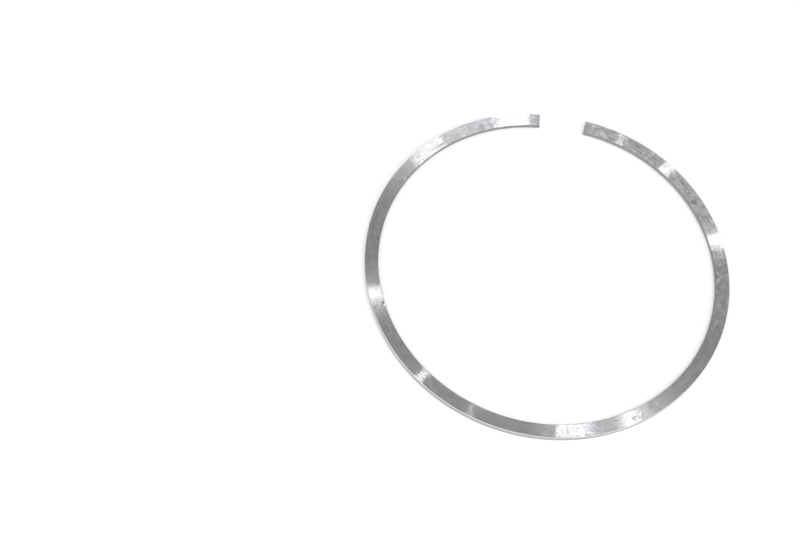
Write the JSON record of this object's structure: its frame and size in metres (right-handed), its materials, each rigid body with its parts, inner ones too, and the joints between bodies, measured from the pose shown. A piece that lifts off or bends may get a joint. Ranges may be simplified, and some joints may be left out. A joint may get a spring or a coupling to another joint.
{
  "type": "piston ring",
  "caption": "Split metal compression ring with tapered keystone flanks, lying free with its gap sprung open; it seals a piston against the cylinder wall.",
  "frame": {"origin": "centre of the ring's box, at the level of the edge that it lies on", "axes": "+Z along the ring's axis, upwards; +Y towards the gap; +X across the ring"},
  "size_m": [0.1136, 0.1106, 0.0024],
  "materials": {
    "ring": "lapped flanks with fine lines round the ring"
  },
  "bodies": {
    "root": {"piston_ring": "ring"}
  },
  "joints": []
}
